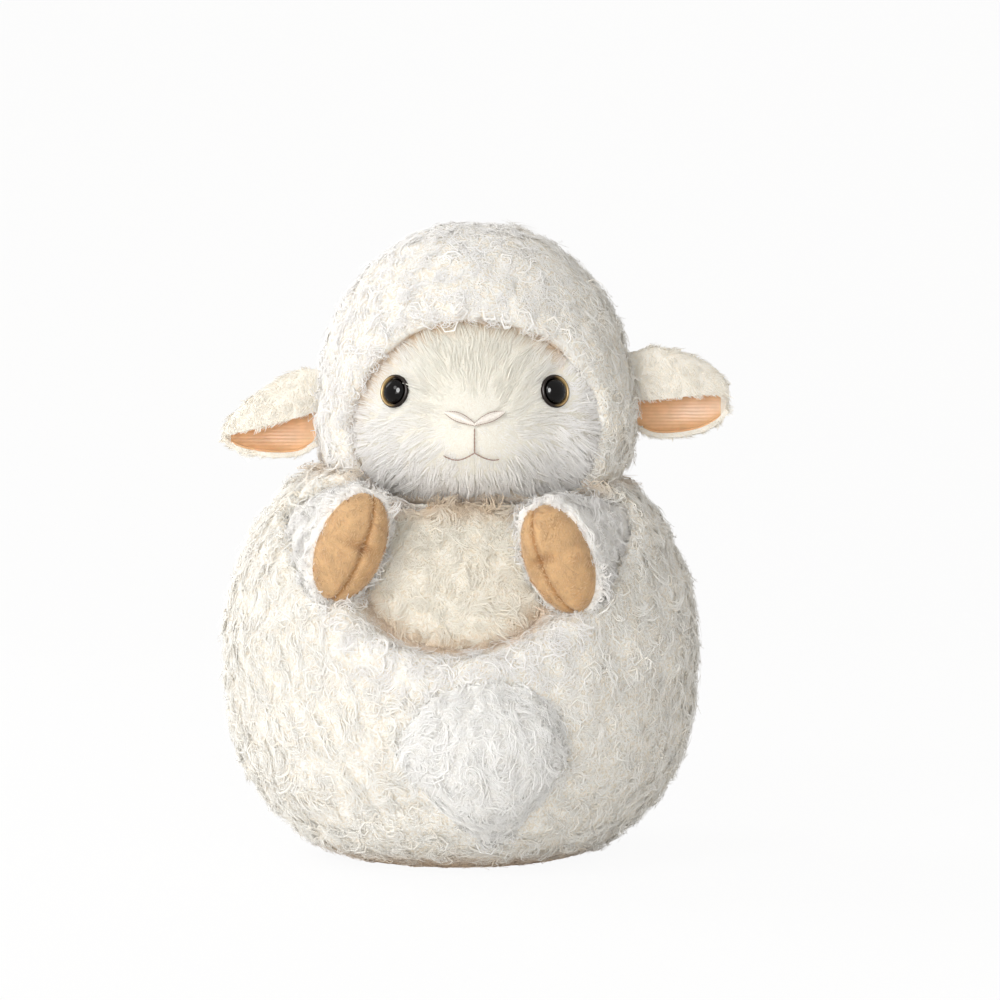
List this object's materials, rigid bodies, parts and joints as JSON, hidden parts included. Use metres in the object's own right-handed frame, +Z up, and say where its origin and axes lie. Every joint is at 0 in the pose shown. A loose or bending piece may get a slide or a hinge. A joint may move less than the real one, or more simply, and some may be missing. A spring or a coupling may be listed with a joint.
{
  "type": "plush sheep",
  "caption": "Round seated plush sheep with a curly hood, a smooth face, side ears, hooves resting in a front pocket and a fluffy tail flap; head, ears, arms and tail move.",
  "frame": {"origin": "centre of the flat base panel's underside, on the surface it stands on", "axes": "+Z up; the sheep faces -Y; +X is the sheep's own left"},
  "size_m": [0.2004, 0.1818, 0.25],
  "materials": {
    "curly_wool": "long curly wool-like polyester pile",
    "tail_wool": "long white wool-like polyester pile",
    "belly_wool": "short curly cream polyester pile",
    "face_plush": "short straight polyester pile",
    "ear_plush": "short brushed polyester pile",
    "ear_lining": "satin-backed knit with a fine sheen",
    "sleeve_plush": "short fluffy polyester pile",
    "hoof_plush": "short dense velour",
    "base_cloth": "plain woven polyester",
    "pouch_cloth": "plain woven polyester bag of plastic pellets",
    "fibre": "polyester fibre filling",
    "thread": "embroidery thread",
    "pupil": "moulded and polished",
    "iris": "moulded, painted bronze inside",
    "washer": "moulded"
  },
  "bodies": {
    "body": {"base_panel": "base_cloth", "back_panel_left": "curly_wool", "back_panel_right": "curly_wool", "lap_panel_left": "curly_wool", "lap_panel_right": "curly_wool", "belly_panel": "belly_wool", "body_stuffing": "fibre", "pellet_pouch": "pouch_cloth", "neck_seam": "thread"},
    "head": {"hood_panel_left": "curly_wool", "hood_panel_right": "curly_wool", "cheek_panel_left": "face_plush", "cheek_panel_right": "face_plush", "forehead_gusset": "face_plush", "head_stuffing": "fibre", "eye_left": "pupil", "eye_right": "pupil", "eye_rim_left": "iris", "eye_rim_right": "iris", "eye_washer_left": "washer", "eye_washer_right": "washer", "nose_stitching": "thread", "lip_line_stitching": "thread", "mouth_stitching": "thread"},
    "ear_left": {"ear_outer_left": "ear_plush", "ear_lining_left": "ear_lining"},
    "ear_right": {"ear_outer_right": "ear_plush", "ear_lining_right": "ear_lining"},
    "arm_left": {"arm_sleeve_left": "sleeve_plush", "arm_stuffing_left": "fibre", "hoof_inner_left": "hoof_plush", "hoof_outer_left": "hoof_plush"},
    "arm_right": {"arm_sleeve_right": "sleeve_plush", "arm_stuffing_right": "fibre", "hoof_inner_right": "hoof_plush", "hoof_outer_right": "hoof_plush"},
    "tail": {"tail_backing": "base_cloth", "tail_face": "tail_wool"}
  },
  "joints": [
    {"name": "head_turn", "type": "hinge", "parent": "body", "child": "head", "pos_m": [0.006, -0.004, 0.137], "axis": [0, 0, 1], "range_deg": [-20, 20], "stiffness_Nm_per_rad": 0.1},
    {"name": "ear_left_swing", "type": "hinge", "parent": "head", "child": "ear_left", "pos_m": [0.0673, -0.005, 0.185], "axis": [0, 0, 1], "range_deg": [-25, 25], "stiffness_Nm_per_rad": 0.002},
    {"name": "ear_right_swing", "type": "hinge", "parent": "head", "child": "ear_right", "pos_m": [-0.0553, -0.005, 0.1785], "axis": [0, 0, 1], "range_deg": [-25, 25], "stiffness_Nm_per_rad": 0.002},
    {"name": "arm_left_lift", "type": "hinge", "parent": "body", "child": "arm_left", "pos_m": [0.056, -0.03, 0.128], "axis": [-1, 0, 0], "range_deg": [0, 18], "stiffness_Nm_per_rad": 0.02},
    {"name": "arm_right_lift", "type": "hinge", "parent": "body", "child": "arm_right", "pos_m": [-0.056, -0.03, 0.128], "axis": [-1, 0, 0], "range_deg": [0, 18], "stiffness_Nm_per_rad": 0.02},
    {"name": "tail_lift", "type": "hinge", "parent": "body", "child": "tail", "pos_m": [0.008, -0.091, 0.08], "axis": [-1, 0, 0], "range_deg": [0, 60]}
  ]
}
